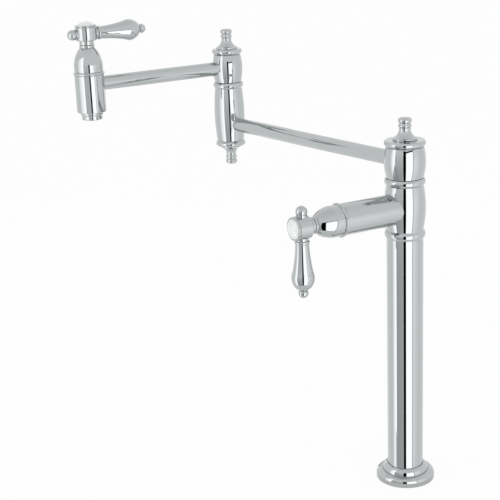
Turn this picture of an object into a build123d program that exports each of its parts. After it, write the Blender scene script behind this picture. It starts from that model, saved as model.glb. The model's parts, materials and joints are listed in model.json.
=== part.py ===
from build123d import *
import os
from math import cos, radians, sin, sqrt

# Deck mount pot filler: a column with a side valve, two arms on swivels, and a spout with its own valve.
# Lengths are in millimetres and angles in degrees. The origin is the centre of the base flange at deck
# level, +Z is up, and the side valve points along -X.

# Fits
swivel_clearance = 0.05
stem_clearance = 0.05
slip_clearance = 0.15
running_gap = 0.3
disc_gap = 0.02
seal_clearance = 0.03

# Column and base
column_diameter = 38.1
column_wall = 1.6
flange_diameter = 62.6
flange_rim_height = 4.7
flange_rim_bulge = 1.6
flange_step_diameter = 48.6
flange_step_width = 0.8
flange_step_height = 9.7
flange_neck_bulge = 1.2
flange_height = 16.8
flange_ledge = 3.0
gasket_inner_diameter = 46.0
gasket_width = 4.6
gasket_thickness = 2.0
foot_thread_diameter = 18.6
foot_thread_depth = 16.0
foot_plug_height = 22.0
foot_boss_diameter = 31.6

# Valve body at the head of the column
valve_axis_height = 304.8
seam_above_branch = 31.6
body_below_branch = 31.5
valve_body_bead_height = 8.2
valve_body_bead_bulge = 1.7
valve_body_neck_diameter = 38.2
valve_body_bulge = 2.4
bead_lip = 0.45
bead_groove = 0.4
seam_bead_height = 7.1
seam_bead_bulge = 1.6
tube_socket_depth = 7.0
chamber_wall = 2.0
chamber_height = 7.0
chamber_rise_offset = 4.0
passage_web = 2.6

# Side branch and its water ways
branch_diameter = 32.9
branch_bore_diameter = 26.9
branch_root = 12.0
branch_floor = 3.0
branch_reach = 80.4
waterway_diameter = 9.0
riser_diameter = 12.0
socket_overrun = 2.0
feed_tube_diameter = 12.0

# Swivels, alike at the column and at the elbow
journal_diameter = 17.0
swivel_root_diameter = 21.0
swivel_root_depth = 12.0
arm_rise = 17.0
retainer_height = 28.0
gallery_diameter = 24.0
gallery_height = 15.0
oring_thickness = 1.2
oring_height = 2.0
thrust_washer_width = 5.0
thrust_washer_thickness = 0.8
thrust_recess_depth = 0.5
retaining_washer_diameter = 22.0
retaining_washer_thickness = 1.2
retaining_screw_diameter = 5.0
retaining_head_diameter = 9.0
retaining_head_height = 3.0
retaining_screw_length = 5.0
retaining_hole_room = 1.0
cap_thread_depth = 4.0
cap_thread_room = 0.5
cap_cavity_diameter = 11.0
column_hub_height = 32.3
column_hub_neck_diameter = 38.8
column_hub_foot_diameter = 38.0
column_hub_bulge = 2.2
column_cap_diameter = 42.6
elbow_hub_height = 32.8
elbow_hub_neck_diameter = 31.8
elbow_hub_foot_diameter = 31.4
elbow_hub_bulge = 2.1
elbow_cap_diameter = 35.8

# Caps and finials, alike apart from the outer size of the caps; heights run outwards from their foot
cap_joint_drop = 0.4
cap_bead_start = 0.9
cap_bead_end = 6.7
cap_bead_bulge = 1.5
finial_base_diameter = 25.2
finial_base_height = 1.8
finial_flare_end = 9.6
finial_flare_bulge = 1.2
finial_neck_diameter = 11.8
finial_bead_start = 12.6
finial_bead_end = 16.4
finial_bead_bulge = 0.8
finial_knob_start = 17.4
finial_knob_diameter = 13.8
finial_knob_height = 2.0
finial_knob_bulge = 0.3
finial_crown_diameter = 9.6
finial_crown_start = 22.8
finial_crown_bulge = 0.9
finial_height = 23.3
finial_tail_diameter = 7.0
finial_tail_length = 6.0

# Arms
arm_diameter = 16.0
arm_wall = 1.5
tube_setback = 0.4
first_arm_length = 302.0
second_arm_length = 178.0
first_arm_heading = 97.1
second_arm_heading = 180.7

# Elbow barrel
elbow_seam_above_arm = 49.9
elbow_barrel_length = 70.0
elbow_barrel_bulge = 2.0
elbow_neck_step = 0.3
elbow_bead_height = 6.2
elbow_bead_bulge = 1.4
elbow_bore_diameter = 25.0
elbow_bore_roof = 3.0

# Spout
spout_body_diameter = 33.2
spout_body_length = 42.2
spout_foot_edge = 0.8
spout_top_over_arm = 3.2
outlet_flange_diameter = 25.6
outlet_flange_height = 2.4
outlet_diameter = 23.2
outlet_height = 8.4
outlet_edge = 0.6
outlet_flange_slope = 1.0
outlet_thread_diameter = 20.0
outlet_thread_length = 5.0
outlet_bore_diameter = 17.6
outlet_lip = 1.0
outlet_washer_width = 2.2
straightener_thickness = 5.0
straightener_cell = 2.4
straightener_web = 0.7
straightener_rings = 2
outlet_washer_thickness = 1.6

# Cartridge and bonnet, alike in both valves; heights run outwards from the end of the barrel
cartridge_diameter = 19.0
cartridge_bore_diameter = 16.0
cartridge_length = 32.4
cartridge_thread_length = 6.5
cartridge_hex = 25.0
cartridge_hex_height = 4.5
gland_diameter = 15.0
gland_height = 22.0
window_width = 7.0
seal_height = 3.0
seal_bore_diameter = 10.0
disc_thickness = 3.0
disc_diameter = 15.6
port_diameter = 4.6
port_offset = 4.2
stem_diameter = 8.0
stem_foot_height = 3.5
stem_tongue_width = 3.0
stem_tongue_depth = 1.2
stem_tongue_length = 13.6
stem_foot_diameter = 14.8
stem_square = 5.6
stem_square_length = 9.0
seat_thickness = 3.0
seat_bore_diameter = 9.0
bonnet_band_height = 3.2
bonnet_band_diameter = 35.2
bonnet_groove_width = 0.7
bonnet_groove_depth = 0.5
bonnet_shoulder_diameter = 32.4
bonnet_straight_end = 11.2
bonnet_dome_bulge = 1.5
bonnet_height = 33.0
bonnet_collar_diameter = 17.0
bonnet_collar_height = 3.2
bonnet_collar_groove = 0.4
bonnet_cavity_diameter = 29.6
bonnet_cavity_height = 6.0
bonnet_thread_start = 12.0
bonnet_mouth_diameter = 12.0

# Handle, alike on both valves; heights run outwards from the top of the bonnet
handle_neck_diameter = 16.2
handle_neck_height = 4.6
hub_diameter = 24.0
hub_height = 17.1
hub_edge = 1.8
hub_edge_bulge = 0.7
bezel_width = 1.9
bezel_height = 1.6
bezel_bulge = 0.5
hub_groove_width = 0.6
hub_groove_depth = 0.8
button_recess_depth = 3.0
button_dome_height = 4.0
button_clearance = 0.1
handle_screw_diameter = 4.0
handle_screw_head_diameter = 7.6
handle_screw_head_height = 2.4
handle_screw_length = 12.0
handle_screw_room = 1.0
lever_rise = 11.7
lever_boss_diameter = 12.4
lever_boss_reach = 13.2
lever_collar_diameter = 15.4
lever_collar_width = 3.0
lever_collar_bulge = 0.5
lever_neck_diameter = 13.8
lever_swell_start_diameter = 21.2
lever_swell_start = 29.4
lever_swell_length = 13.0
lever_swell_bulge = 1.4
lever_swell_drop = 0.4
lever_neck_hollow = 0.65
lever_end_bulge = 0.6
lever_end_diameter = 10.8
lever_length = 47.6
lever_rod_diameter = 4.0
lever_rod_grip = 4.5
tip_neck_diameter = 7.6
tip_neck_length = 0.8
tip_diameter = 10.2
tip_length = 9.0
tip_bulge = 0.6
ball_diameter = 11.8
ball_reach = 22.1
ball_collar_diameter = 11.2
ball_collar_end = 13.3
ball_neck_diameter = 9.8
ball_neck_end = 13.9
ball_stud_diameter = 5.0
ball_stud_length = 5.0

# Places that follow from the sizes above
column_radius = column_diameter / 2
arm_radius = arm_diameter / 2
column_seam_height = valve_axis_height + seam_above_branch
valve_body_foot_height = valve_axis_height - body_below_branch
first_arm_height = column_seam_height + arm_rise
elbow_seam_height = first_arm_height + elbow_seam_above_arm
second_arm_height = elbow_seam_height + arm_rise
hub_base = bonnet_height + running_gap
elbow_x = first_arm_length * cos(radians(first_arm_heading))
elbow_y = first_arm_length * sin(radians(first_arm_heading))
spout_x = elbow_x + second_arm_length * cos(radians(second_arm_heading))
spout_y = elbow_y + second_arm_length * sin(radians(second_arm_heading))
spout_top_height = second_arm_height + arm_radius + spout_top_over_arm
column_head = Plane(origin=(0, 0, column_seam_height))
elbow_head = Plane(origin=(elbow_x, elbow_y, elbow_seam_height))
elbow_foot = Plane(
    origin=(elbow_x, elbow_y, elbow_seam_height - elbow_barrel_length),
    x_dir=(1, 0, 0),
    z_dir=(0, 0, -1),
)
side_valve = Plane(origin=(-branch_reach, 0, valve_axis_height), x_dir=(0, 0, -1), z_dir=(-1, 0, 0))
spout_valve = Plane(
    origin=(spout_x, spout_y, spout_top_height),
    x_dir=(-cos(radians(second_arm_heading)), -sin(radians(second_arm_heading)), 0),
    z_dir=(0, 0, 1),
)


def outline(*corners):
    """The face inside corners given as (radius, height), drawn anticlockwise. A third number rounds the
    stretch that arrives at that corner: it is the bulge away from the chord, outwards when positive."""
    stretches = []
    for start, end in zip(corners[-1:] + corners[:-1], corners):
        bulge = end[2] if len(end) > 2 else 0
        if bulge:
            stretches.append(SagittaArc(start[:2], end[:2], -bulge))
        else:
            stretches.append(Line(start[:2], end[:2]))
    return make_face(stretches)


def turned(*corners):
    """A piece turned about Z from its half outline."""
    return revolve(Plane.XZ * outline(*corners), Axis.Z)


def ring(inner, outer, low, high):
    """A plain ring between two radii and two heights."""
    return turned((inner, low), (outer, low), (outer, high), (inner, high))


def rod(radius, low, high):
    """A plain rod between two heights."""
    return turned((0, low), (radius, low), (radius, high), (0, high))


def cross_rod(radius, near, far, height, heading=0.0):
    """A rod lying level, from near to far along a heading."""
    lying = Plane(
        origin=(near * cos(radians(heading)), near * sin(radians(heading)), height),
        z_dir=(cos(radians(heading)), sin(radians(heading)), 0),
    )
    return lying * rod(radius, 0, far - near)


def placed(plane, piece):
    """A piece drawn about its own axis, put where it belongs."""
    return plane.location * piece


def dome_bulge(radius, height):
    """The bulge of a round stretch that meets the axis square, for a dome of this radius and height."""
    ball = (radius**2 + height**2) / (2 * height)
    return ball - sqrt(ball**2 - (radius**2 + height**2) / 4)


# Base and column


def base_flange():
    """The dress flange: a rounded rim, a step and a cove up to the tube, and a ledge for the tube's foot."""
    rim = flange_diameter / 2
    step = flange_step_diameter / 2
    bore = column_radius + slip_clearance
    body = turned(
        (foot_boss_diameter / 2 + slip_clearance, 0),
        (rim, 0),
        (rim, flange_rim_height),
        (step + flange_step_width, flange_step_height, flange_rim_bulge),
        (step, flange_step_height - flange_step_width / 2),
        (bore + flange_step_width, flange_height, flange_neck_bulge),
        (bore, flange_height),
        (bore, flange_ledge),
        (foot_boss_diameter / 2 + slip_clearance, flange_ledge),
    )
    groove_inner = gasket_inner_diameter / 2 - slip_clearance
    groove_outer = gasket_inner_diameter / 2 + gasket_width + slip_clearance
    return body - ring(groove_inner, groove_outer, 0, gasket_thickness)


def deck_gasket():
    """The flat rubber ring let into the underside of the flange."""
    inner = gasket_inner_diameter / 2
    return ring(inner, inner + gasket_width, 0, gasket_thickness)


def foot_plug():
    """The brass plug soldered into the foot of the tube, with the supply thread in its boss."""
    plug_radius = column_radius - column_wall
    top = flange_ledge + foot_plug_height
    return turned(
        (foot_thread_diameter / 2, 0),
        (foot_boss_diameter / 2, 0),
        (foot_boss_diameter / 2, flange_ledge),
        (plug_radius, flange_ledge),
        (plug_radius, top),
        (waterway_diameter / 2, top),
        (waterway_diameter / 2, foot_thread_depth),
        (foot_thread_diameter / 2, foot_thread_depth),
    )


def column_tube():
    """The upright tube, from the flange ledge to its socket in the valve body."""
    top = valve_body_foot_height + tube_socket_depth
    return ring(column_radius - column_wall, column_radius, flange_ledge, top)


def valve_body():
    """The cast body at the head of the column, with its beads, tube socket, branch socket and water ways."""
    foot = valve_body_foot_height
    neck = valve_body_neck_diameter / 2
    lip = column_radius + bead_lip
    bead_end = foot + valve_body_bead_height
    seam = column_seam_height
    seam_bead = seam - seam_bead_height
    socket_top = foot + tube_socket_depth
    chamber_top = socket_top + chamber_height
    chamber = column_radius - column_wall - chamber_wall
    body = turned(
        (0, foot),
        (lip, foot),
        (lip, bead_end, valve_body_bead_bulge),
        (neck, bead_end + bead_groove),
        (neck, seam_bead - bead_groove, valve_body_bulge),
        (lip, seam_bead),
        (lip, seam, seam_bead_bulge),
        (0, seam),
    )
    body -= rod(column_radius, foot, socket_top)
    body -= rod(chamber, socket_top, chamber_top)
    body -= placed(column_head, rod(swivel_root_diameter / 2, -swivel_root_depth, 0))
    passage_foot = valve_axis_height + waterway_diameter / 2 + passage_web
    body -= rod(riser_diameter / 2, passage_foot, seam - swivel_root_depth)
    body -= cross_rod(branch_diameter / 2, branch_root, 2 * column_radius, valve_axis_height, 180)
    body -= cross_rod(branch_bore_diameter / 2, branch_floor, branch_root, valve_axis_height, 180)
    body -= cross_rod(feed_tube_diameter / 2, 0, branch_floor, valve_axis_height, 180)
    body -= cross_rod(waterway_diameter / 2, -chamber_rise_offset, 0, valve_axis_height, 180)
    rise = Pos(chamber_rise_offset, 0, 0) * rod(waterway_diameter / 2, chamber_top, valve_axis_height)
    return body - rise


def side_branch():
    """The level barrel brazed into the valve body, open at its end for the cartridge."""
    return placed(
        side_valve,
        ring(branch_bore_diameter / 2, branch_diameter / 2, branch_root - branch_reach, 0),
    )


def feed_tube():
    """The inner tube that takes the water to the seat, with the seat turned on its end."""
    seat = -cartridge_length
    bore = waterway_diameter / 2
    return placed(
        side_valve,
        turned(
            (bore, -branch_reach),
            (feed_tube_diameter / 2, -branch_reach),
            (feed_tube_diameter / 2, seat - seat_thickness),
            (cartridge_diameter / 2, seat - seat_thickness),
            (cartridge_diameter / 2, seat),
            (bore, seat),
        ),
    )


# Swivels


def swivel_spigot():
    """The post of a swivel: root, journal with two seal grooves, water way, cross ports and tapped top."""
    journal = journal_diameter / 2
    groove = journal - oring_thickness
    top = retainer_height - retaining_washer_thickness
    lower = arm_rise - gallery_height / 2 - 2 * oring_height
    upper = arm_rise + gallery_height / 2 + oring_height
    post = turned(
        (0, -swivel_root_depth),
        (swivel_root_diameter / 2, -swivel_root_depth),
        (swivel_root_diameter / 2, 0),
        (journal, 0),
        (journal, lower),
        (groove, lower),
        (groove, lower + oring_height),
        (journal, lower + oring_height),
        (journal, upper - oring_height),
        (groove, upper - oring_height),
        (groove, upper),
        (journal, upper),
        (journal, top),
        (0, top),
    )
    post -= rod(riser_diameter / 2, -swivel_root_depth, arm_rise + waterway_diameter / 2)
    post -= cross_rod(waterway_diameter / 2, -journal, journal, arm_rise)
    post -= rod(retaining_screw_diameter / 2, top - retaining_screw_length - retaining_hole_room, top)
    return post


def swivel_orings():
    """The two rubber rings that seal a swivel, pressed flat between groove and bore."""
    inner = journal_diameter / 2 - oring_thickness
    outer = journal_diameter / 2 + swivel_clearance - seal_clearance
    lower = arm_rise - gallery_height / 2 - 2 * oring_height
    upper = arm_rise + gallery_height / 2
    return [ring(inner, outer, low, low + oring_height) for low in (lower, upper)]


def thrust_washer():
    """The plastic washer that carries the upper part of a swivel."""
    inner = journal_diameter / 2 + slip_clearance
    return ring(inner, inner + thrust_washer_width, 0, thrust_washer_thickness - disc_gap)


def retaining_washer():
    """The steel washer that holds a swivel's hub down on its post."""
    return ring(
        retaining_screw_diameter / 2 + slip_clearance,
        retaining_washer_diameter / 2,
        retainer_height - retaining_washer_thickness,
        retainer_height,
    )


def retaining_screw():
    """The screw through the retaining washer into the post."""
    foot = retainer_height - retaining_washer_thickness - retaining_screw_length
    shank = retaining_screw_diameter / 2
    return turned(
        (0, foot),
        (shank, foot),
        (shank, retainer_height),
        (retaining_head_diameter / 2, retainer_height),
        (retaining_head_diameter / 2, retainer_height + retaining_head_height),
        (0, retainer_height + retaining_head_height),
    )


def swivel_hub(height, neck_diameter, foot_diameter, bulge, heading):
    """The barrel that turns on a swivel's post, with its bore, water gallery and arm socket."""
    neck = neck_diameter / 2
    washer = journal_diameter / 2 + slip_clearance + thrust_washer_width
    ledge = retainer_height - retaining_washer_thickness - running_gap
    floor = running_gap
    hub = turned((0, floor), (foot_diameter / 2, floor), (neck, height, bulge), (0, height))
    hub -= rod(journal_diameter / 2 + swivel_clearance, floor, height)
    hub -= rod(washer + slip_clearance, floor, floor + thrust_recess_depth)
    hub -= rod(gallery_diameter / 2, arm_rise - gallery_height / 2, arm_rise + gallery_height / 2)
    hub -= rod(retaining_washer_diameter / 2 + running_gap, ledge, height)
    return hub - cross_rod(arm_radius, gallery_diameter / 2 - socket_overrun, 2 * neck, arm_rise, heading)


def swivel_cap(neck_diameter, cap_diameter):
    """The cap screwed into the end of a barrel: threaded spigot, cove, round bead and the finial's seat."""
    bead_root = cap_diameter / 2 - cap_bead_bulge
    spigot = retaining_washer_diameter / 2 + running_gap
    spigot_foot = cap_thread_room - cap_thread_depth
    cavity = cap_cavity_diameter / 2
    thread = finial_tail_diameter / 2
    return turned(
        (cavity, spigot_foot),
        (spigot, spigot_foot),
        (spigot, 0),
        (neck_diameter / 2 - cap_joint_drop, 0),
        (bead_root, cap_bead_start),
        (bead_root, cap_bead_end, cap_bead_bulge),
        (thread, cap_bead_end),
        (thread, cap_bead_end - finial_tail_length),
        (cavity, cap_bead_end - finial_tail_length),
    )


def finial():
    """The turned finial that screws into a cap: base, flare, neck, bead and a mushroom knob."""
    base = finial_base_diameter / 2
    neck = finial_neck_diameter / 2
    tail = finial_tail_diameter / 2
    crown = finial_crown_diameter / 2
    piece = turned(
        (0, -finial_tail_length),
        (tail, -finial_tail_length),
        (tail, 0),
        (base, 0),
        (base, finial_base_height),
        (neck, finial_flare_end, -finial_flare_bulge),
        (neck, finial_bead_start),
        (neck, finial_bead_end, finial_bead_bulge),
        (neck, finial_knob_start),
        (finial_knob_diameter / 2, finial_knob_start + finial_knob_height, finial_knob_bulge),
        (crown, finial_crown_start, finial_crown_bulge),
        (0, finial_height, dome_bulge(crown, finial_height - finial_crown_start)),
    )
    return Pos(0, 0, cap_bead_end) * piece


# Arms and elbow


def arm_tube(length, far_bore, height, heading):
    """A straight arm tube, from the gallery of its hub to the bore of what it carries."""
    start = gallery_diameter / 2 + tube_setback
    end = length - far_bore / 2 - tube_setback
    tube = cross_rod(arm_radius, start, end, height, heading)
    return tube - cross_rod(arm_radius - arm_wall, start, end, height, heading)


def first_arm_tube():
    """The longer arm, from the column to the elbow."""
    return arm_tube(first_arm_length, elbow_bore_diameter, first_arm_height, first_arm_heading)


def second_arm_tube():
    """The shorter arm, from the elbow to the spout."""
    tube = arm_tube(second_arm_length, branch_bore_diameter, second_arm_height, second_arm_heading)
    return Pos(elbow_x, elbow_y, 0) * tube


def elbow_barrel():
    """The barrel at the end of the first arm, bored as a water way and closed by the cap below."""
    neck = elbow_hub_neck_diameter / 2 + elbow_neck_step
    foot = -elbow_barrel_length
    bore_top = -swivel_root_depth - elbow_bore_roof
    cap_bore = retaining_washer_diameter / 2 + running_gap
    barrel = turned(
        (0, foot),
        (neck, foot),
        (neck, -elbow_bead_height - bead_groove, elbow_barrel_bulge),
        (neck + bead_lip, -elbow_bead_height),
        (neck + bead_lip, 0, elbow_bead_bulge),
        (0, 0),
    )
    barrel -= rod(swivel_root_diameter / 2, -swivel_root_depth, 0)
    barrel -= rod(riser_diameter / 2, bore_top, -swivel_root_depth)
    barrel -= rod(elbow_bore_diameter / 2, foot + cap_thread_depth, bore_top)
    barrel -= rod(cap_bore, foot, foot + cap_thread_depth)
    socket_height = first_arm_height - elbow_seam_height
    socket = cross_rod(arm_radius, elbow_bore_diameter / 2 - socket_overrun, 2 * neck, socket_height)
    barrel -= Rot(0, 0, first_arm_heading + 180) * socket
    return placed(elbow_head, barrel)


# Spout


def spout_body():
    """The upright barrel at the end of the second arm, with the seat web and the outlet thread."""
    radius = spout_body_diameter / 2
    seat = -cartridge_length
    foot = -spout_body_length
    edge = spout_foot_edge
    body = turned((0, foot), (radius - edge, foot), (radius, foot + edge), (radius, 0), (0, 0))
    body -= rod(branch_bore_diameter / 2, seat, 0)
    body -= rod(seat_bore_diameter / 2, seat - seat_thickness, seat)
    body -= rod(outlet_thread_diameter / 2, foot, seat - seat_thickness)
    socket_height = second_arm_height - spout_top_height
    body -= cross_rod(arm_radius, branch_bore_diameter / 2 - socket_overrun, 2 * radius, socket_height)
    return placed(spout_valve, body)


def outlet_housing():
    """The outlet nozzle screwed into the foot of the spout, with its ledge for the straightener."""
    foot = -spout_body_length
    low = foot - outlet_height
    bore = outlet_bore_diameter / 2
    housing = turned(
        (bore - outlet_lip, low),
        (outlet_diameter / 2 - outlet_edge, low),
        (outlet_diameter / 2, low + outlet_edge),
        (outlet_diameter / 2, foot - outlet_flange_height - outlet_flange_slope),
        (outlet_flange_diameter / 2, foot - outlet_flange_height),
        (outlet_flange_diameter / 2, foot),
        (outlet_thread_diameter / 2, foot),
        (outlet_thread_diameter / 2, foot + outlet_thread_length),
        (bore, foot + outlet_thread_length),
        (bore, low + outlet_lip),
        (bore - outlet_lip, low + outlet_lip),
    )
    return placed(spout_valve, housing)


def flow_straightener():
    """The honeycomb plate that makes the stream run clear."""
    low = outlet_lip - spout_body_length - outlet_height
    plate = rod(outlet_bore_diameter / 2 - slip_clearance, low, low + straightener_thickness)
    pitch = straightener_cell + straightener_web
    cells = []
    for row in range(-straightener_rings, straightener_rings + 1):
        for place in range(-straightener_rings, straightener_rings + 1):
            if abs(row + place) <= straightener_rings:
                centre = Pos(pitch * (place + row / 2), pitch * row * sqrt(3) / 2, low)
                cells.append(centre * RegularPolygon(straightener_cell / 2, 6, False, rotation=30))
    return placed(spout_valve, plate - extrude(Sketch() + cells, straightener_thickness))


def outlet_washer():
    """The rubber washer above the straightener."""
    low = outlet_lip - spout_body_length - outlet_height + straightener_thickness
    outer = outlet_bore_diameter / 2 - slip_clearance
    return placed(spout_valve, ring(outer - outlet_washer_width, outer, low, low + outlet_washer_thickness))


# Cartridge, bonnet and seals, drawn about the valve's axis


def cartridge_body():
    """The brass cartridge: a windowed cage for the discs, a threaded flange, a hexagon and a gland."""
    cage = cartridge_diameter / 2
    foot = -cartridge_length
    stem_hole = stem_diameter / 2 + stem_clearance
    foot_room = foot + seal_height + 2 * disc_thickness + stem_foot_height + running_gap
    body = turned(
        (0, foot),
        (cage, foot),
        (cage, -cartridge_thread_length),
        (branch_bore_diameter / 2, -cartridge_thread_length),
        (branch_bore_diameter / 2, 0),
        (gland_diameter / 2, 0),
        (gland_diameter / 2, gland_height),
        (0, gland_height),
    )
    body += extrude(RegularPolygon(cartridge_hex / 2, 6, False), cartridge_hex_height)
    body -= rod(cartridge_bore_diameter / 2, foot, foot_room)
    body -= rod(stem_hole, foot_room, gland_height)
    window_foot = foot + seal_height + disc_thickness
    window = Box(
        3 * cage,
        window_width,
        disc_thickness + stem_foot_height,
        align=(Align.CENTER, Align.CENTER, Align.MIN),
    )
    return body - Pos(0, 0, window_foot) * window


def seat_seal():
    """The rubber ring between the seat and the fixed disc."""
    foot = -cartridge_length
    return ring(seal_bore_diameter / 2, disc_diameter / 2, foot, foot + seal_height)


def disc_ports(low, turn):
    """The two round ports through a disc, opposite each other at a turn about the axis."""
    port = Pos(port_offset, 0, 0) * rod(port_diameter / 2, low, low + disc_thickness)
    return Rot(0, 0, turn) * port + Rot(0, 0, turn + 180) * port


def fixed_disc():
    """The ceramic disc that stands still."""
    low = seal_height - cartridge_length
    return rod(disc_diameter / 2, low, low + disc_thickness - disc_gap) - disc_ports(low, 0)


def moving_disc():
    """The ceramic disc that the stem turns, with a slot across it for the stem's tongue."""
    low = seal_height + disc_thickness - cartridge_length
    top = low + disc_thickness
    disc = rod(disc_diameter / 2, low, top) - disc_ports(low, 90)
    slot_foot = top - stem_tongue_depth
    return disc - tongue(slot_foot, stem_tongue_width + slip_clearance, disc_diameter + 1)


def tongue(low, width, length):
    """The bar that a disc and its stem share, at its width and length."""
    return Pos(0, 0, low) * Box(
        length, width, stem_tongue_depth, align=(Align.CENTER, Align.CENTER, Align.MIN)
    )


def valve_stem():
    """The stem: tongue and foot on the disc, round shaft through the gland, and a square for the handle."""
    foot = seal_height + 2 * disc_thickness - cartridge_length
    shoulder = hub_base + handle_neck_height
    top = shoulder + stem_square_length
    stem = rod(stem_foot_diameter / 2, foot, foot + stem_foot_height)
    stem += rod(stem_diameter / 2, foot, shoulder)
    stem += tongue(foot - stem_tongue_depth, stem_tongue_width, stem_tongue_length)
    stem += Pos(0, 0, shoulder) * Box(
        stem_square, stem_square, stem_square_length, align=(Align.CENTER, Align.CENTER, Align.MIN)
    )
    return stem - rod(handle_screw_diameter / 2, top - handle_screw_length, top)


def bonnet():
    """The domed cover over the cartridge: round bead, groove, straight, dome and a collar at the handle."""
    shoulder = bonnet_shoulder_diameter / 2
    bead_bulge = bonnet_band_diameter / 2 - shoulder
    groove = shoulder - bonnet_groove_depth
    groove_end = bonnet_band_height + bonnet_groove_width
    collar = bonnet_collar_diameter / 2
    collar_foot = bonnet_height - bonnet_collar_height
    thread = gland_diameter / 2
    mouth = bonnet_mouth_diameter / 2
    return turned(
        (bonnet_cavity_diameter / 2, 0),
        (shoulder, 0),
        (shoulder, bonnet_band_height, bead_bulge),
        (groove, bonnet_band_height),
        (groove, groove_end),
        (shoulder, groove_end),
        (shoulder, bonnet_straight_end),
        (collar, collar_foot, bonnet_dome_bulge),
        (collar - bonnet_collar_groove, collar_foot),
        (collar - bonnet_collar_groove, collar_foot + bonnet_collar_groove),
        (collar, collar_foot + 2 * bonnet_collar_groove),
        (collar, bonnet_height - bonnet_collar_groove),
        (collar - bonnet_collar_groove, bonnet_height),
        (mouth, bonnet_height),
        (mouth, gland_height),
        (thread, gland_height),
        (thread, bonnet_thread_start),
        (bonnet_cavity_diameter / 2, bonnet_cavity_height),
    )


# Handle, drawn about the valve's axis with the lever along its own X


def lying(piece, height):
    """A piece turned about its own axis, laid along X at a height on the valve's axis."""
    return Plane(origin=(0, 0, height), x_dir=(0, 1, 0), z_dir=(1, 0, 0)).location * piece


def handle_hub():
    """The handle's hub: neck, drum, groove, bezel, lever boss, square socket and screw hole."""
    drum = hub_diameter / 2
    low = hub_base + handle_neck_height
    top = low + hub_height
    bezel_foot = top - bezel_height
    drum_top = bezel_foot - hub_groove_width
    recess_floor = top - button_recess_depth
    head_floor = low + stem_square_length + handle_screw_room
    lever_height = hub_base + lever_rise
    hub = turned(
        (0, hub_base),
        (handle_neck_diameter / 2, hub_base),
        (handle_neck_diameter / 2, low),
        (drum - hub_edge, low),
        (drum, low + hub_edge, hub_edge_bulge),
        (drum, drum_top - hub_groove_depth),
        (drum - hub_groove_depth, drum_top, hub_groove_depth / 4),
        (drum - hub_groove_depth, bezel_foot),
        (drum - bezel_bulge, bezel_foot),
        (drum - bezel_bulge, top, bezel_bulge),
        (0, top),
    )
    hub += lying(rod(lever_boss_diameter / 2, 0, lever_boss_reach), lever_height)
    hub -= rod(stem_diameter / 2 + stem_clearance, hub_base, low)
    socket = stem_square + 2 * stem_clearance
    hub -= Pos(0, 0, low) * Box(
        socket, socket, stem_square_length, align=(Align.CENTER, Align.CENTER, Align.MIN)
    )
    hub -= rod(handle_screw_diameter / 2 + slip_clearance, low, top)
    hub -= rod(handle_screw_head_diameter / 2 + slip_clearance, head_floor, top)
    hub -= rod(drum - bezel_width, recess_floor, top)
    rod_end = lever_boss_reach - lever_rod_grip
    hub -= lying(rod(lever_rod_diameter / 2, rod_end, lever_boss_reach), lever_height)
    stud_end = -(drum - ball_stud_length)
    return hub - lying(rod(ball_stud_diameter / 2, -2 * drum, stud_end), lever_height)


def handle_screw():
    """The screw that holds the handle on its stem, under the button."""
    low = hub_base + handle_neck_height
    head = low + stem_square_length + handle_screw_room
    shank = handle_screw_diameter / 2
    return turned(
        (0, head - handle_screw_length),
        (shank, head - handle_screw_length),
        (shank, head),
        (handle_screw_head_diameter / 2, head),
        (handle_screw_head_diameter / 2, head + handle_screw_head_height),
        (0, head + handle_screw_head_height),
    )


def index_button():
    """The bare white porcelain button, domed, in the rim of the hub."""
    top = hub_base + handle_neck_height + hub_height
    radius = hub_diameter / 2 - bezel_width - button_clearance
    floor = top - button_recess_depth
    return turned(
        (0, floor),
        (radius, floor),
        (radius, top),
        (0, top + button_dome_height, dome_bulge(radius, button_dome_height)),
    )


def handle_ball():
    """The ball opposite the lever, on a collar hollowed to sit on the drum, with a stud into it."""
    radius = ball_diameter / 2
    centre = ball_reach - radius
    neck = ball_neck_diameter / 2
    collar = ball_collar_diameter / 2
    stud = ball_stud_diameter / 2
    drum = hub_diameter / 2
    saddle = sqrt(drum**2 - collar**2)
    ball = Pos(0, 0, centre) * Sphere(radius)
    ball -= rod(2 * radius, 0, ball_neck_end)
    ball += rod(neck, saddle, ball_neck_end) + rod(collar, saddle, ball_collar_end)
    height = hub_base + lever_rise
    opposite = Rot(0, 0, 180)
    pin = lying(rod(stud, drum - ball_stud_length, centre), height)
    return opposite * lying(ball, height) - handle_hub() + opposite * pin


def lever_collar():
    """The turned collar between hub and lever."""
    root = lever_collar_diameter / 2 - lever_collar_bulge
    bore = lever_rod_diameter / 2 + slip_clearance
    low = lever_boss_reach
    high = low + lever_collar_width
    return lying(
        turned(
            (bore, low),
            (root, low),
            (root, high, lever_collar_bulge),
            (bore, high),
        ),
        hub_base + lever_rise,
    )


def lever():
    """The tapered lever that swells towards its end, bored for the tie rod."""
    low = lever_boss_reach + lever_collar_width
    swell = low + lever_swell_start
    swell_radius = lever_swell_start_diameter / 2
    bore = lever_rod_diameter / 2 + slip_clearance
    return lying(
        turned(
            (bore, low),
            (lever_neck_diameter / 2, low),
            (swell_radius, swell, -lever_neck_hollow),
            (swell_radius - lever_swell_drop, swell + lever_swell_length, lever_swell_bulge),
            (lever_end_diameter / 2, low + lever_length, lever_end_bulge),
            (bore, low + lever_length),
        ),
        hub_base + lever_rise,
    )


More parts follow.
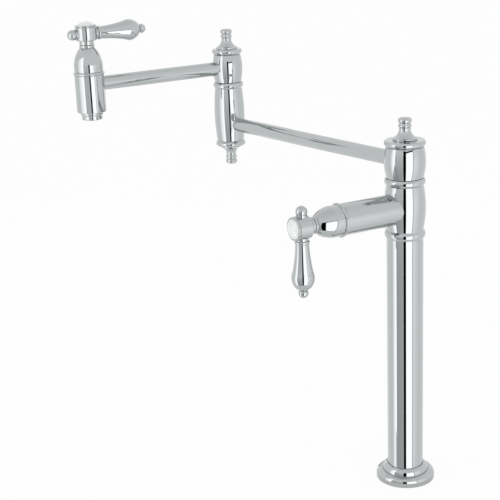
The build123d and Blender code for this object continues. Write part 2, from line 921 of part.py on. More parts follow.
def lever_tip():
    """The round tip with the tie rod that runs through the lever into the hub."""
    low = lever_boss_reach + lever_collar_width + lever_length
    high = low + tip_length
    shank = lever_rod_diameter / 2
    return lying(
        turned(
            (0, lever_boss_reach - lever_rod_grip),
            (shank, lever_boss_reach - lever_rod_grip),
            (shank, low),
            (tip_neck_diameter / 2, low),
            (tip_neck_diameter / 2, low + tip_neck_length),
            (tip_diameter / 2, low + tip_length / 2, tip_bulge),
            (0, high, dome_bulge(tip_diameter / 2, tip_length / 2)),
        ),
        hub_base + lever_rise,
    )


def swivel_pieces(name, head, height, neck_diameter, foot_diameter, bulge, cap_diameter, heading):
    """Every piece of one swivel, by node name."""
    hub = swivel_hub(height, neck_diameter, foot_diameter, bulge, heading)
    top = Pos(0, 0, height)
    return {
        f"{name}_spigot": placed(head, swivel_spigot()),
        f"{name}_orings": [placed(head, piece) for piece in swivel_orings()],
        f"{name}_thrust_washer": placed(head, thrust_washer()),
        f"{name}_retaining_washer": placed(head, retaining_washer()),
        f"{name}_retaining_screw": placed(head, retaining_screw()),
        f"{name}_swivel_hub": placed(head, hub),
        f"{name}_swivel_cap": placed(head, top * swivel_cap(neck_diameter, cap_diameter)),
        f"{name}_finial": placed(head, top * finial()),
    }


def valve_pieces(name, valve):
    """Every piece of one valve head and its handle, by node name."""
    makers = {
        "cartridge_body": cartridge_body,
        "seat_seal": seat_seal,
        "fixed_disc": fixed_disc,
        "moving_disc": moving_disc,
        "stem": valve_stem,
        "bonnet": bonnet,
        "handle_hub": handle_hub,
        "handle_screw": handle_screw,
        "index_button": index_button,
        "handle_ball": handle_ball,
        "lever_collar": lever_collar,
        "lever": lever,
        "lever_tip": lever_tip,
    }
    return {f"{name}_{part}": placed(valve, make()) for part, make in makers.items()}


def main():
    elbow_cap = swivel_cap(elbow_hub_neck_diameter, elbow_cap_diameter)
    pieces = {
        "deck_gasket": deck_gasket(),
        "base_flange": base_flange(),
        "foot_plug": foot_plug(),
        "column_tube": column_tube(),
        "valve_body": valve_body(),
        "side_branch": side_branch(),
        "feed_tube": feed_tube(),
        "first_arm_tube": first_arm_tube(),
        "elbow_barrel": elbow_barrel(),
        "elbow_bottom_cap": placed(elbow_foot, elbow_cap),
        "elbow_bottom_finial": placed(elbow_foot, finial()),
        "second_arm_tube": second_arm_tube(),
        "spout_body": spout_body(),
        "outlet_housing": outlet_housing(),
        "flow_straightener": flow_straightener(),
        "outlet_washer": outlet_washer(),
    }
    pieces |= swivel_pieces(
        "column",
        column_head,
        column_hub_height,
        column_hub_neck_diameter,
        column_hub_foot_diameter,
        column_hub_bulge,
        column_cap_diameter,
        first_arm_heading,
    )
    pieces |= swivel_pieces(
        "elbow",
        elbow_head,
        elbow_hub_height,
        elbow_hub_neck_diameter,
        elbow_hub_foot_diameter,
        elbow_hub_bulge,
        elbow_cap_diameter,
        second_arm_heading,
    )
    pieces |= valve_pieces("main", side_valve)
    pieces |= valve_pieces("spout", spout_valve)
    os.makedirs("parts", exist_ok=True)
    for name, piece in pieces.items():
        solids = piece if isinstance(piece, list) else [piece]
        export_step(Compound(children=solids) if len(solids) > 1 else solids[0], f"parts/{name}.step")


main()
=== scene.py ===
import json
from collections import namedtuple
from math import pi, radians

import bmesh
import bpy
from mathutils import Matrix, Vector

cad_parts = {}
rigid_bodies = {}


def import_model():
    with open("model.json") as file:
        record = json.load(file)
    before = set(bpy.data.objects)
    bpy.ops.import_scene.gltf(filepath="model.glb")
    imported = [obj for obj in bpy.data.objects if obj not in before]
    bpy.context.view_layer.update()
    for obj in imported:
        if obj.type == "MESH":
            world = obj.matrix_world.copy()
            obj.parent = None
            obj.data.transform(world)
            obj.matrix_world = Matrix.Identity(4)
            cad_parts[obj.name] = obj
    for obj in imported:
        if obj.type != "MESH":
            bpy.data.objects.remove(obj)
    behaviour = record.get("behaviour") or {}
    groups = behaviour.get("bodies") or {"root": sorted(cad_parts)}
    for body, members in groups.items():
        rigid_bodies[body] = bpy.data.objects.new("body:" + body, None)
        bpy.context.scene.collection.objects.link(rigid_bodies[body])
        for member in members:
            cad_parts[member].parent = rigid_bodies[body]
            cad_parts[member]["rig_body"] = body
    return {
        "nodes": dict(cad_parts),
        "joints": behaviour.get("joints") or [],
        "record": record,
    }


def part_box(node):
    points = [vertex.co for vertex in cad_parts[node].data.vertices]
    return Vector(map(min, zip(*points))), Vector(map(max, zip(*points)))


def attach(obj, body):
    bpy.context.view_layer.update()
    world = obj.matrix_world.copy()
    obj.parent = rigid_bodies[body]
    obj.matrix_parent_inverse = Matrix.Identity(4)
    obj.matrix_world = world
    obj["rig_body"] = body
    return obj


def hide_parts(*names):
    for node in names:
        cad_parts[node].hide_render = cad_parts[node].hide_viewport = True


bl_info = {
    "name": "Deck mount pot filler",
    "version": (1, 0, 0),
    "blender": (4, 5, 0),
    "location": "View3D > Sidebar > Pot filler",
    "description": "Dresses the frame of a deck mount pot filler and sets it in a studio",
    "category": "Object",
}

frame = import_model()
nodes = frame["nodes"]
record = frame["record"]
joints = {joint["name"]: joint for joint in frame["joints"]}
slots = {part["node"]: part["material_slot"] for part in record["subparts"]}
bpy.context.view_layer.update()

UP = Vector((0, 0, 1))
MERGE_DISTANCE = 1e-6
STRAIGHT_ANGLE = radians(0.4)

# An axis to turn about: a point on it, its direction, and the side its section is taken from.
Axis = namedtuple("Axis", "point along toward")


# Settings


class TurningSettings(bpy.types.PropertyGroup):
    steps: bpy.props.IntProperty(
        name="Steps around",
        description="Faces around a turned piece",
        default=144,
        min=24,
        max=360,
    )
    edge_width: bpy.props.FloatProperty(
        name="Edge rounding",
        description="Width of the rounding along sharp edges",
        default=0.00022,
        min=0.0,
        unit="LENGTH",
    )
    edge_segments: bpy.props.IntProperty(
        name="Edge segments",
        description="Faces across a rounded edge",
        default=3,
        min=1,
        max=6,
    )
    edge_angle: bpy.props.FloatProperty(
        name="Edge angle",
        description="Edges that turn more than this are rounded",
        default=radians(28),
        subtype="ANGLE",
    )
    boss_diameter: bpy.props.FloatProperty(
        name="Boss diameter",
        description="Diameter of the boss that carries the lever",
        default=0.0124,
        unit="LENGTH",
    )


class FinishSettings(bpy.types.PropertyGroup):
    chrome: bpy.props.FloatVectorProperty(
        name="Chrome",
        description="Colour of the polished plate",
        subtype="COLOR",
        size=3,
        min=0.0,
        max=1.0,
        default=(0.487, 0.505, 0.508),
    )
    chrome_roughness: bpy.props.FloatProperty(
        name="Chrome roughness",
        description="Roughness of the polished plate where it is clean",
        default=0.025,
        min=0.0,
        max=1.0,
        subtype="FACTOR",
    )
    porcelain: bpy.props.FloatVectorProperty(
        name="Porcelain",
        description="Colour of the glazed buttons",
        subtype="COLOR",
        size=3,
        min=0.0,
        max=1.0,
        default=(0.84, 0.855, 0.85),
    )
    brass: bpy.props.FloatVectorProperty(
        name="Brass",
        description="Colour of the bare brass inside",
        subtype="COLOR",
        size=3,
        min=0.0,
        max=1.0,
        default=(0.78, 0.58, 0.30),
    )


class StudioSettings(bpy.types.PropertyGroup):
    floor_colour: bpy.props.FloatVectorProperty(
        name="Floor",
        description="Colour of the floor",
        subtype="COLOR",
        size=3,
        min=0.0,
        max=1.0,
        default=(0.9, 0.9, 0.9),
    )
    stand_colour: bpy.props.FloatVectorProperty(
        name="Stand",
        description="Colour that the flange mirrors from the worktop below it",
        subtype="COLOR",
        size=3,
        min=0.0,
        max=1.0,
        default=(0.84, 0.83, 0.82),
    )
    stand_radius: bpy.props.FloatProperty(
        name="Stand radius",
        description="Radius of the round of worktop that the flange mirrors",
        default=0.05,
        unit="LENGTH",
    )
    sky_level: bpy.props.FloatProperty(
        name="Sky level",
        description="Brightness of the surroundings for matt surfaces",
        default=0.8,
        min=0.0,
    )
    lens: bpy.props.FloatProperty(
        name="Lens",
        description="Focal length of the camera",
        default=86.58,
        min=1.0,
        unit="CAMERA",
    )


# Axes of the frame


def joint_axis(name, toward):
    """The axis of a joint, with the side that its pieces' sections are taken from."""
    joint = joints[name]
    along = Vector(joint["axis"]).normalized()
    return Axis(Vector(joint["pos_m"]), along, Vector(toward).normalized())


def level_direction(start, end):
    """The level direction from one point to another."""
    way = Vector(end) - Vector(start)
    way.z = 0
    return way.normalized()


def box_centre(node):
    """The middle of a node's box."""
    low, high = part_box(node)
    return (Vector(low) + Vector(high)) / 2


def arm_axis(node, start, end):
    """The axis of an arm tube between two joints, at the height of the tube."""
    point = Vector(joints[start]["pos_m"])
    point.z = box_centre(node).z
    return Axis(point, level_direction(joints[start]["pos_m"], joints[end]["pos_m"]), UP)


def lever_axis(node, valve):
    """The axis of a lever, from the valve's axis outwards."""
    centre = box_centre(node)
    height = (centre - valve.point).dot(valve.along)
    point = valve.point + valve.along * height
    return Axis(point, valve.toward, valve.along.cross(valve.toward))


column_axis = joint_axis("column_swivel", (1, 0, 0))
elbow_axis = joint_axis("elbow_swivel", (1, 0, 0))
main_axis = joint_axis("main_handle_turn", (0, 0, -1))
spout_axis = joint_axis(
    "spout_handle_turn",
    level_direction(joints["spout_handle_turn"]["pos_m"], joints["elbow_swivel"]["pos_m"]),
)


# Turning


def everything(shape):
    """All that a bmesh holds, as the operators want it."""
    return shape.verts[:] + shape.edges[:] + shape.faces[:]


def keep_section(shape, axis):
    """Cuts a solid along the half plane of an axis and leaves only the outline of the cut."""
    across = axis.along.cross(axis.toward)
    bmesh.ops.remove_doubles(shape, verts=shape.verts, dist=MERGE_DISTANCE)
    bmesh.ops.bisect_plane(
        shape,
        geom=everything(shape),
        dist=MERGE_DISTANCE,
        plane_co=axis.point,
        plane_no=axis.toward,
        clear_inner=True,
    )
    cut = bmesh.ops.bisect_plane(
        shape,
        geom=everything(shape),
        dist=MERGE_DISTANCE,
        plane_co=axis.point,
        plane_no=across,
    )
    outline = {part for part in cut["geom_cut"] if isinstance(part, bmesh.types.BMEdge)}
    if not outline:
        raise RuntimeError("the cut found no outline")
    bmesh.ops.delete(shape, geom=shape.faces[:], context="FACES_ONLY")
    unused = [edge for edge in shape.edges if edge not in outline]
    bmesh.ops.delete(shape, geom=unused, context="EDGES")
    loose = [vert for vert in shape.verts if not vert.link_edges]
    bmesh.ops.delete(shape, geom=loose, context="VERTS")
    bmesh.ops.dissolve_limit(
        shape,
        angle_limit=STRAIGHT_ANGLE,
        verts=shape.verts[:],
        edges=shape.edges[:],
    )


def spin_section(shape, axis, steps):
    """Spins an outline once round its axis and closes the shell."""
    bmesh.ops.spin(
        shape,
        geom=everything(shape),
        cent=axis.point,
        axis=axis.along,
        angle=2 * pi,
        steps=steps,
        use_merge=True,
    )
    close_shell(shape)


def close_shell(shape):
    """Merges a shell's seams and poles and turns its faces outwards."""
    bmesh.ops.remove_doubles(shape, verts=shape.verts, dist=MERGE_DISTANCE)
    bmesh.ops.dissolve_degenerate(shape, edges=shape.edges, dist=MERGE_DISTANCE)
    bmesh.ops.recalc_face_normals(shape, faces=shape.faces)


def turned_shape(node, axis, steps):
    """A node's section spun about its axis."""
    shape = bmesh.new()
    shape.from_mesh(nodes[node].data)
    keep_section(shape, axis)
    spin_section(shape, axis, steps)
    return shape


def add_rod(shape, axis, radius, length, steps):
    """Adds a plain rod from the axis' point outwards."""
    turn = axis.along.to_track_quat("Z", "Y").to_matrix().to_4x4()
    disc = bmesh.ops.create_circle(
        shape,
        cap_ends=True,
        segments=steps,
        radius=radius,
        matrix=Matrix.Translation(axis.point) @ turn,
    )
    face = disc["verts"][0].link_faces[0]
    grown = bmesh.ops.extrude_face_region(shape, geom=[face], use_keep_orig=True)
    moved = [part for part in grown["geom"] if isinstance(part, bmesh.types.BMVert)]
    bmesh.ops.translate(shape, verts=moved, vec=axis.along * length)


def finish_piece(shape, node):
    """Makes a bmesh the shown piece of a node: smooth, with rounded edges, on the node's body."""
    settings = bpy.context.scene.filler_turning
    mesh = bpy.data.meshes.new(f"{node}_shown")
    for face in shape.faces:
        face.smooth = True
    shape.to_mesh(mesh)
    shape.free()
    piece = bpy.data.objects.new(f"{node}_shown", mesh)
    bpy.context.scene.collection.objects.link(piece)
    edges = piece.modifiers.new("Edges", "BEVEL")
    edges.width = settings.edge_width
    edges.segments = settings.edge_segments
    edges.limit_method = "ANGLE"
    edges.angle_limit = settings.edge_angle
    shading = piece.modifiers.new("Shading", "WEIGHTED_NORMAL")
    shading.keep_sharp = True
    piece.data.materials.append(finish(slots[node]))
    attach(piece, nodes[node]["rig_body"])
    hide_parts(node)
    return piece


def turn_pieces(axis, *names):
    """Turns several nodes about one axis."""
    steps = bpy.context.scene.filler_turning.steps
    for name in names:
        finish_piece(turned_shape(name, axis, steps), name)


# Finishes

CLOUD_DETAIL = 4.0
CLOUD_RANGE = (0.42, 0.78)
SCRATCH_DETAIL = 2.0
SCRATCH_RANGE = (0.6, 0.72)
SCRATCH_STRETCH = (1.0, 1.0, 0.12)
GLAZE_WEIGHT = 0.6
GLAZE_ROUGHNESS = 0.03

# A finish: its colour and roughness where it is clean and where it is marked, how many marks there
# are to a metre and how strong they are, and the strength and depth of the relief that they leave.
Look = namedtuple(
    "Look",
    "metallic clean marked smooth rough cloud_size scratch_size amount bump depth",
)


def add_maths(tree, operation, first, second):
    """The result of a maths node. Each input is another node's output or a number."""
    node = tree.nodes.new("ShaderNodeMath")
    node.operation = operation
    for socket, value in zip(node.inputs, (first, second)):
        if isinstance(value, bpy.types.NodeSocket):
            tree.links.new(value, socket)
        else:
            socket.default_value = value
    return node.outputs["Value"]


def add_range(tree, taken, given):
    """A node that maps one range of values to another."""
    node = tree.nodes.new("ShaderNodeMapRange")
    node.inputs["From Min"].default_value, node.inputs["From Max"].default_value = taken
    node.inputs["To Min"].default_value, node.inputs["To Max"].default_value = given
    return node


def new_material(name):
    """A material with its nodes on."""
    material = bpy.data.materials.new(name)
    material.use_nodes = True
    return material


def new_group(name, inputs, outputs):
    """An empty shader node group with its sockets."""
    group = bpy.data.node_groups.new(name, "ShaderNodeTree")
    for label, default in inputs:
        socket = group.interface.new_socket(label, in_out="INPUT", socket_type="NodeSocketFloat")
        socket.default_value = default
    for label in outputs:
        group.interface.new_socket(label, in_out="OUTPUT", socket_type="NodeSocketFloat")
    return group, group.nodes.new("NodeGroupInput"), group.nodes.new("NodeGroupOutput")


def handling_group():
    """Faint wiping marks: a soft cloudy mask with fine scratches, and the height they leave."""
    name = "Handling marks"
    if name in bpy.data.node_groups:
        return bpy.data.node_groups[name]
    group, taken, given = new_group(
        name,
        (("Cloud size", 30.0), ("Scratch size", 900.0), ("Amount", 0.5)),
        ("Mask", "Height"),
    )
    link = group.links.new
    place = group.nodes.new("ShaderNodeTexCoord")
    clouds = group.nodes.new("ShaderNodeTexNoise")
    clouds.inputs["Detail"].default_value = CLOUD_DETAIL
    stretch = group.nodes.new("ShaderNodeMapping")
    stretch.inputs["Scale"].default_value = SCRATCH_STRETCH
    scratches = group.nodes.new("ShaderNodeTexNoise")
    scratches.inputs["Detail"].default_value = SCRATCH_DETAIL
    soft = add_range(group, CLOUD_RANGE, (0.0, 1.0))
    fine = add_range(group, SCRATCH_RANGE, (0.0, 1.0))
    both = add_maths(group, "MAXIMUM", soft.outputs["Result"], fine.outputs["Result"])
    mask = add_maths(group, "MULTIPLY", both, taken.outputs["Amount"])
    link(place.outputs["Object"], clouds.inputs["Vector"])
    link(place.outputs["Object"], stretch.inputs["Vector"])
    link(stretch.outputs["Vector"], scratches.inputs["Vector"])
    link(taken.outputs["Cloud size"], clouds.inputs["Scale"])
    link(taken.outputs["Scratch size"], scratches.inputs["Scale"])
    link(clouds.outputs["Fac"], soft.inputs["Value"])
    link(scratches.outputs["Fac"], fine.inputs["Value"])
    link(mask, given.inputs["Mask"])
    link(scratches.outputs["Fac"], given.inputs["Height"])
    return group


def marked_material(name, look):
    """A material whose colour and roughness run from clean to marked over the handling marks."""
    material = new_material(name)
    tree = material.node_tree
    link = tree.links.new
    shader = tree.nodes["Principled BSDF"]
    shader.inputs["Metallic"].default_value = look.metallic
    handling = tree.nodes.new("ShaderNodeGroup")
    handling.node_tree = handling_group()
    handling.inputs["Cloud size"].default_value = look.cloud_size
    handling.inputs["Scratch size"].default_value = look.scratch_size
    handling.inputs["Amount"].default_value = look.amount
    colour = tree.nodes.new("ShaderNodeMix")
    colour.data_type = "RGBA"
    colour.inputs["A"].default_value = (*look.clean, 1.0)
    colour.inputs["B"].default_value = (*look.marked, 1.0)
    grain = add_range(tree, (0.0, 1.0), (look.smooth, look.rough))
    relief = tree.nodes.new("ShaderNodeBump")
    relief.inputs["Strength"].default_value = look.bump
    relief.inputs["Distance"].default_value = look.depth
    link(handling.outputs["Mask"], colour.inputs["Factor"])
    link(colour.outputs["Result"], shader.inputs["Base Color"])
    link(handling.outputs["Mask"], grain.inputs["Value"])
    link(grain.outputs["Result"], shader.inputs["Roughness"])
    link(handling.outputs["Height"], relief.inputs["Height"])
    link(relief.outputs["Normal"], shader.inputs["Normal"])
    return material


def shaded(colour, *shades):
    """A colour with each channel taken by its own shade, or all by one."""
    return tuple(value * shade for value, shade in zip(colour, shades * len(colour)))


def chrome_material(name):
    """Polished chrome plate with the faintest wiping marks."""
    settings = bpy.context.scene.filler_finish
    return marked_material(name, Look(
        metallic=1.0,
        clean=tuple(settings.chrome),
        marked=shaded(settings.chrome, 0.97),
        smooth=settings.chrome_roughness,
        rough=settings.chrome_roughness + 0.04,
        cloud_size=26.0,
        scratch_size=240.0,
        amount=0.4,
        bump=0.002,
        depth=0.00001,
    ))


def porcelain_material(name):
    """White glazed porcelain, a little grey where the glaze is thick."""
    porcelain = bpy.context.scene.filler_finish.porcelain
    material = marked_material(name, Look(
        metallic=0.0,
        clean=tuple(porcelain),
        marked=shaded(porcelain, 0.965, 0.975, 0.975),
        smooth=0.06,
        rough=0.1,
        cloud_size=110.0,
        scratch_size=240.0,
        amount=0.5,
        bump=0.01,
        depth=0.00001,
    ))
    shader = material.node_tree.nodes["Principled BSDF"]
    shader.inputs["Coat Weight"].default_value = GLAZE_WEIGHT
    shader.inputs["Coat Roughness"].default_value = GLAZE_ROUGHNESS
    return material


def brass_material(name):
    """Machined brass, duller where it has been wetted."""
    brass = bpy.context.scene.filler_finish.brass
    return marked_material(name, Look(
        metallic=1.0,
        clean=tuple(brass),
        marked=shaded(brass, 0.72),
        smooth=0.2,
        rough=0.42,
        cloud_size=120.0,
        scratch_size=1800.0,
        amount=0.8,
        bump=0.15,
        depth=0.00004,
    ))


def ceramic_material(name):
    """Lapped ceramic with a fine speckle."""
    return marked_material(name, Look(
        metallic=0.0,
        clean=(0.86, 0.85, 0.82),
        marked=(0.7, 0.69, 0.66),
        smooth=0.25,
        rough=0.4,
        cloud_size=300.0,
        scratch_size=3000.0,
        amount=0.5,
        bump=0.05,
        depth=0.00002,
    ))


def rubber_material(name):
    """Black moulded rubber with a pale bloom."""
    return marked_material(name, Look(
        metallic=0.0,
        clean=(0.018, 0.018, 0.019),
        marked=(0.06, 0.06, 0.06),
        smooth=0.55,
        rough=0.8,
        cloud_size=180.0,
        scratch_size=1500.0,
        amount=0.7,
        bump=0.2,
        depth=0.00006,
    ))


def acetal_material(name):
    """White moulded plastic."""
    return marked_material(name, Look(
        metallic=0.0,
        clean=(0.82, 0.82, 0.8),
        marked=(0.7, 0.7, 0.67),
        smooth=0.38,
        rough=0.55,
        cloud_size=140.0,
        scratch_size=1200.0,
        amount=0.5,
        bump=0.1,
        depth=0.00004,
    ))


def steel_material(name):
    """Plain stainless steel with drawn marks."""
    return marked_material(name, Look(
        metallic=1.0,
        clean=(0.6, 0.6, 0.6),
        marked=(0.48, 0.48, 0.49),
        smooth=0.22,
        rough=0.38,
        cloud_size=90.0,
        scratch_size=2200.0,
        amount=0.9,
        bump=0.12,
        depth=0.00003,
    ))


MAKERS = {
    "polished_chrome": chrome_material,
    "white_porcelain": porcelain_material,
    "bare_brass": brass_material,
    "disc_ceramic": ceramic_material,
    "black_rubber": rubber_material,
    "white_acetal": acetal_material,
    "stainless_steel": steel_material,
}


def finish(slot):
    """The material of a slot, made once."""
    name = f"finish_{slot}"
    return bpy.data.materials.get(name) or MAKERS[slot](name)


# Pieces


class FILLER_OT_column(bpy.types.Operator):
    """Turn the flange, the tube, the valve body and the side branch"""

    bl_idname = "filler.column"
    bl_label = "Column"

    def execute(self, context):
        turn_pieces(column_axis, "base_flange", "column_tube", "valve_body")
        turn_pieces(main_axis, "side_branch")
        return {"FINISHED"}


class FILLER_OT_swivels(bpy.types.Operator):
    """Turn the hubs, caps and finials of both swivels and the cap and finial below the elbow"""

    bl_idname = "filler.swivels"
    bl_label = "Swivels"

    def execute(self, context):
        turn_pieces(column_axis, "column_swivel_hub", "column_swivel_cap", "column_finial")
        turn_pieces(elbow_axis, "elbow_swivel_hub", "elbow_swivel_cap", "elbow_finial")
        turn_pieces(elbow_axis, "elbow_barrel", "elbow_bottom_cap", "elbow_bottom_finial")
        return {"FINISHED"}


class FILLER_OT_arms(bpy.types.Operator):
    """Turn the two arm tubes"""

    bl_idname = "filler.arms"
    bl_label = "Arms"

    def execute(self, context):
        for tube, start, end in (
            ("first_arm_tube", "column_swivel", "elbow_swivel"),
            ("second_arm_tube", "elbow_swivel", "spout_handle_turn"),
        ):
            turn_pieces(arm_axis(tube, start, end), tube)
        return {"FINISHED"}


class FILLER_OT_spout(bpy.types.Operator):
    """Turn the spout and its outlet"""

    bl_idname = "filler.spout"
    bl_label = "Spout"

    def execute(self, context):
        away = spout_axis._replace(toward=-spout_axis.toward)
        turn_pieces(away, "spout_body", "outlet_housing")
        return {"FINISHED"}


class FILLER_OT_valves(bpy.types.Operator):
    """Turn the bonnets and the porcelain buttons"""

    bl_idname = "filler.valves"
    bl_label = "Valves"

    def execute(self, context):
        turn_pieces(main_axis, "main_bonnet", "main_index_button")
        turn_pieces(spout_axis, "spout_bonnet", "spout_index_button")
        return {"FINISHED"}


class FILLER_OT_handles(bpy.types.Operator):
    """Turn the hub, ball, collar, lever and tip of both handles"""

    bl_idname = "filler.handles"
    bl_label = "Handles"

    def execute(self, context):
        settings = context.scene.filler_turning
        for valve, axis in (("main", main_axis), ("spout", spout_axis)):
            lever = lever_axis(f"{valve}_lever", axis)
            hub = f"{valve}_handle_hub"
            sideways = axis._replace(toward=axis.along.cross(axis.toward))
            shape = turned_shape(hub, sideways, settings.steps)
            corners = (Vector(corner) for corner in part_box(hub))
            reach = max((corner - lever.point).dot(lever.along) for corner in corners)
            add_rod(shape, lever, settings.boss_diameter / 2, reach, settings.steps)
            bmesh.ops.recalc_face_normals(shape, faces=shape.faces)
            finish_piece(shape, hub)
            turned = ("handle_ball", "lever_collar", "lever", "lever_tip")
            turn_pieces(lever, *(f"{valve}_{part}" for part in turned))
        return {"FINISHED"}


class FILLER_OT_inner(bpy.types.Operator):
    """Give every piece that stays as it was built its own finish"""

    bl_idname = "filler.inner"
    bl_label = "Inner pieces"

    def execute(self, context):
        for name, node in nodes.items():
            node.data.materials.clear()
            node.data.materials.append(finish(slots[name]))
        return {"FINISHED"}


# Studio

WHITE = (1.0, 1.0, 1.0)
FLOOR_SIZE = 30.0
FLOOR_ROUGHNESS = 0.8
FLOOR_WHITENESS = 0.94
STAND_DROP = 0.0003
STAND_STEPS = 64
OVERHEAD_START = 0.65
OVERHEAD_LEVEL = 0.87
CAMERA_PLACE = Vector((-0.7233, -0.9630, 0.6279))
CAMERA_HEADING = radians(-29.23)
CAMERA_PITCH = radians(16.89)
CAMERA_ROLL = radians(-2.31)

# Upright panels round the object, each from its left end to its right end. An end is given right
# of the camera and ahead of it, and each row has its height and its brightness at either end.
Panel = namedtuple("Panel", "name left right rows")
Row = namedtuple("Row", "height left right")


def even_panel(name, left, right, heights, levels):
    """A panel whose brightness is the same over its height."""
    return Panel(name, left, right, tuple(Row(height, *levels) for height in heights))


# Panels that light the object and show in it.
LIGHT_PANELS = (
    even_panel("Far_left_panel", (-1.30, 1.22), (-0.58, 0.93), (-0.87, 0.78), (1.04, 1.9)),
    even_panel("Left_panel", (-0.58, 0.93), (-0.505, 0.85), (-0.30, 0.83), (2.0, 2.0)),
    even_panel("Right_panel", (0.14, 0.34), (0.62, 0.59), (-0.60, 0.52), (2.0, 2.0)),
    Panel("Far_right_panel", (0.62, 0.59), (1.10, 1.08), (
        Row(-0.57, 1.18, 1.0),
        Row(-0.30, 1.28, 1.0),
        Row(0.20, 1.42, 1.02),
        Row(0.40, 1.25, 1.0),
        Row(0.60, 1.0, 1.0),
    )),
)

# Cards and panels that only show in the object. Those at the back are for views from other sides.
MIRRORED_PANELS = (
    Panel("Grey_card", (-0.505, 0.85), (-0.075, 0.41), (
        Row(-0.64, 0.5, 0.6),
        Row(0.0, 0.56, 0.67),
        Row(0.575, 1.0, 1.0),
    )),
    even_panel("Frame_top", (0.14, 0.34), (0.62, 0.59), (0.52, 0.565), (0.0, 0.0)),
    even_panel("Frame_side", (0.60, 0.60), (0.64, 0.625), (-0.60, 0.565), (0.5, 0.5)),
    even_panel("Black_card", (-0.075, 0.41), (0.14, 0.34), (-0.67, 0.59), (0.0, 0.0)),
    even_panel("Back_left_panel", (-0.51, 2.44), (-0.22, 2.53), (-0.60, 0.52), (1.1, 1.3)),
    even_panel("Back_dark_card", (-0.22, 2.53), (-0.13, 2.54), (-0.60, 0.52), (0.4, 0.4)),
    even_panel("Back_grey_card", (-0.13, 2.54), (0.12, 2.54), (-0.60, 0.52), (0.65, 0.75)),
    even_panel("Back_right_panel", (0.12, 2.54), (0.47, 2.46), (-0.60, 0.52), (1.3, 1.1)),
)


def camera_turn():
    """The camera's rotation, from its heading, pitch and roll."""
    heading = Matrix.Rotation(CAMERA_HEADING, 4, "Z")
    pitch = Matrix.Rotation(pi / 2 - CAMERA_PITCH, 4, "X")
    return heading @ pitch @ Matrix.Rotation(CAMERA_ROLL, 4, "Z")


def panel_point(place, height):
    """A point right of and ahead of the camera, at a height above the deck."""
    heading = Matrix.Rotation(CAMERA_HEADING, 4, "Z")
    point = CAMERA_PLACE + heading @ Vector((*place, 0))
    point.z = height
    return point


def add_ray_masks(tree):
    """Two masks: 1 for what the camera sees, and 1 for what is mirrored or seen through glass."""
    path = tree.nodes.new("ShaderNodeLightPath").outputs
    mirrored = add_maths(tree, "MAXIMUM", path["Is Glossy Ray"], path["Is Transmission Ray"])
    return path["Is Camera Ray"], mirrored


def add_light(tree, colour):
    """A plain light that is a material's whole surface."""
    light = tree.nodes.new("ShaderNodeEmission")
    light.inputs["Color"].default_value = (*colour, 1.0)
    tree.links.new(light.outputs["Emission"], tree.nodes["Material Output"].inputs["Surface"])
    return light


def place_stage(name, shape, material):
    """Puts a bmesh into the scene as part of the stage."""
    mesh = bpy.data.meshes.new(name)
    shape.to_mesh(mesh)
    shape.free()
    mesh.materials.append(material)
    stand = bpy.data.objects.new(name, mesh)
    bpy.context.scene.collection.objects.link(stand)
    return stand


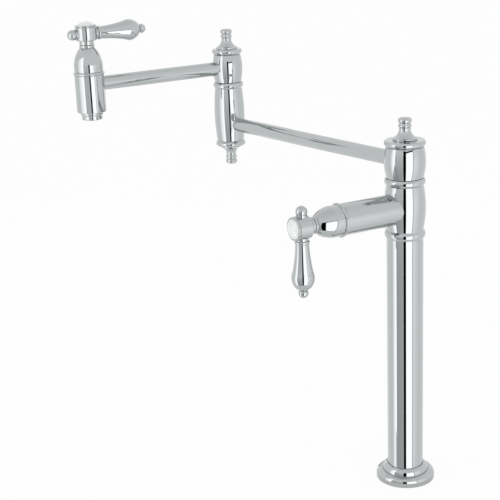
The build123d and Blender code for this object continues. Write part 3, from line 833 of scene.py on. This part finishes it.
class FILLER_OT_stage(bpy.types.Operator):
    """Build the floor, the panels, the surroundings and the camera"""

    bl_idname = "filler.stage"
    bl_label = "Stage"

    def execute(self, context):
        settings = context.scene.filler_studio
        self.add_floor(settings)
        self.add_stand(settings)
        self.add_surroundings(settings)
        for panel in LIGHT_PANELS:
            self.add_panel(panel, True)
        for panel in MIRRORED_PANELS:
            self.add_panel(panel, False)
        self.add_camera(context, settings)
        context.scene.view_settings.view_transform = "Standard"
        return {"FINISHED"}

    def add_floor(self, settings):
        """The pale floor, almost white to the camera. Reflections look past it."""
        material = new_material("stage_floor")
        tree = material.node_tree
        output = tree.nodes["Material Output"]
        shader = tree.nodes["Principled BSDF"]
        shader.inputs["Base Color"].default_value = (*settings.floor_colour, 1.0)
        shader.inputs["Roughness"].default_value = FLOOR_ROUGHNESS
        seen, mirrored = add_ray_masks(tree)
        either = add_maths(tree, "MAXIMUM", seen, mirrored)
        white = tree.nodes.new("ShaderNodeEmission")
        mix = tree.nodes.new("ShaderNodeMixShader")
        link = tree.links.new
        link(add_maths(tree, "MULTIPLY", either, FLOOR_WHITENESS), mix.inputs["Fac"])
        link(shader.outputs["BSDF"], mix.inputs[1])
        link(white.outputs["Emission"], mix.inputs[2])
        link(mix.outputs["Shader"], output.inputs["Surface"])
        shape = bmesh.new()
        bmesh.ops.create_grid(shape, x_segments=1, y_segments=1, size=FLOOR_SIZE)
        floor = place_stage("Floor", shape, material)
        floor.visible_glossy = False

    def add_stand(self, settings):
        """The round of worktop that the flange mirrors. The tube's reflections pass outside it."""
        material = new_material("stage_stand")
        add_light(material.node_tree, settings.stand_colour)
        shape = bmesh.new()
        bmesh.ops.create_circle(
            shape,
            cap_ends=True,
            segments=STAND_STEPS,
            radius=settings.stand_radius,
        )
        bmesh.ops.translate(shape, verts=shape.verts, vec=(0.0, 0.0, -STAND_DROP))
        stand = place_stage("Stand", shape, material)
        stand.visible_camera = False
        stand.visible_diffuse = False
        stand.visible_shadow = False

    def add_surroundings(self, settings):
        """Even light from all round: white to the camera, and dimmer overhead when mirrored."""
        world = bpy.data.worlds.new("Surroundings")
        bpy.context.scene.world = world
        world.use_nodes = True
        tree = world.node_tree
        link = tree.links.new
        light = tree.nodes["Background"]
        light.inputs["Color"].default_value = (*WHITE, 1.0)
        ray = tree.nodes.new("ShaderNodeNewGeometry")
        parts = tree.nodes.new("ShaderNodeSeparateXYZ")
        steep = tree.nodes.new("ShaderNodeMath")
        steep.operation = "ABSOLUTE"
        fade = add_range(tree, (OVERHEAD_START, 1.0), (1.0, OVERHEAD_LEVEL))
        level = tree.nodes.new("ShaderNodeMix")
        level.inputs["A"].default_value = settings.sky_level
        seen, mirrored = add_ray_masks(tree)
        link(ray.outputs["Incoming"], parts.inputs["Vector"])
        link(parts.outputs["Z"], steep.inputs[0])
        link(steep.outputs["Value"], fade.inputs["Value"])
        link(mirrored, level.inputs["Factor"])
        link(fade.outputs["Result"], level.inputs["B"])
        white = add_maths(tree, "MAXIMUM", level.outputs["Result"], seen)
        link(white, light.inputs["Strength"])

    def add_panel(self, panel, lights):
        """An upright panel that only reflections show, or that lights the object too."""
        shape = bmesh.new()
        level = shape.verts.layers.float.new("level")
        below = None
        for row in panel.rows:
            left, right = (
                shape.verts.new(panel_point(end, row.height)) for end in (panel.left, panel.right)
            )
            left[level] = row.left
            right[level] = row.right
            if below:
                shape.faces.new((*below, right, left))
            below = (left, right)
        material = new_material(f"stage_{panel.name.lower()}")
        tree = material.node_tree
        brightness = tree.nodes.new("ShaderNodeAttribute")
        brightness.attribute_name = "level"
        light = add_light(tree, WHITE)
        tree.links.new(brightness.outputs["Fac"], light.inputs["Strength"])
        placed = place_stage(panel.name, shape, material)
        placed.visible_camera = False
        placed.visible_diffuse = lights
        placed.visible_shadow = False

    def add_camera(self, context, settings):
        """The camera at the photograph's angle."""
        lens = bpy.data.cameras.new("Camera")
        lens.lens = settings.lens
        camera = bpy.data.objects.new("Camera", lens)
        camera.matrix_world = Matrix.Translation(CAMERA_PLACE) @ camera_turn()
        context.scene.collection.objects.link(camera)
        context.scene.camera = camera


# Panel and registration

STEPS = (
    FILLER_OT_column,
    FILLER_OT_swivels,
    FILLER_OT_arms,
    FILLER_OT_spout,
    FILLER_OT_valves,
    FILLER_OT_handles,
    FILLER_OT_inner,
    FILLER_OT_stage,
)


class FILLER_PT_panel(bpy.types.Panel):
    """Lists the steps and their settings"""

    bl_label = "Pot filler"
    bl_idname = "FILLER_PT_panel"
    bl_space_type = "VIEW_3D"
    bl_region_type = "UI"
    bl_category = "Pot filler"

    def draw(self, context):
        scene = context.scene
        for settings in (scene.filler_turning, scene.filler_finish, scene.filler_studio):
            box = self.layout.box()
            for name in settings.__annotations__:
                box.prop(settings, name)
        for step in STEPS:
            self.layout.operator(step.bl_idname)


CLASSES = (TurningSettings, FinishSettings, StudioSettings, *STEPS, FILLER_PT_panel)


def register():
    for item in CLASSES:
        bpy.utils.register_class(item)
    bpy.types.Scene.filler_turning = bpy.props.PointerProperty(type=TurningSettings)
    bpy.types.Scene.filler_finish = bpy.props.PointerProperty(type=FinishSettings)
    bpy.types.Scene.filler_studio = bpy.props.PointerProperty(type=StudioSettings)


def unregister():
    del bpy.types.Scene.filler_studio
    del bpy.types.Scene.filler_finish
    del bpy.types.Scene.filler_turning
    for item in reversed(CLASSES):
        bpy.utils.unregister_class(item)


def main():
    register()
    for step in (
        bpy.ops.filler.column,
        bpy.ops.filler.swivels,
        bpy.ops.filler.arms,
        bpy.ops.filler.spout,
        bpy.ops.filler.valves,
        bpy.ops.filler.handles,
        bpy.ops.filler.inner,
        bpy.ops.filler.stage,
    ):
        step()
    bpy.context.view_layer.update()


if __name__ == "__main__":
    main()
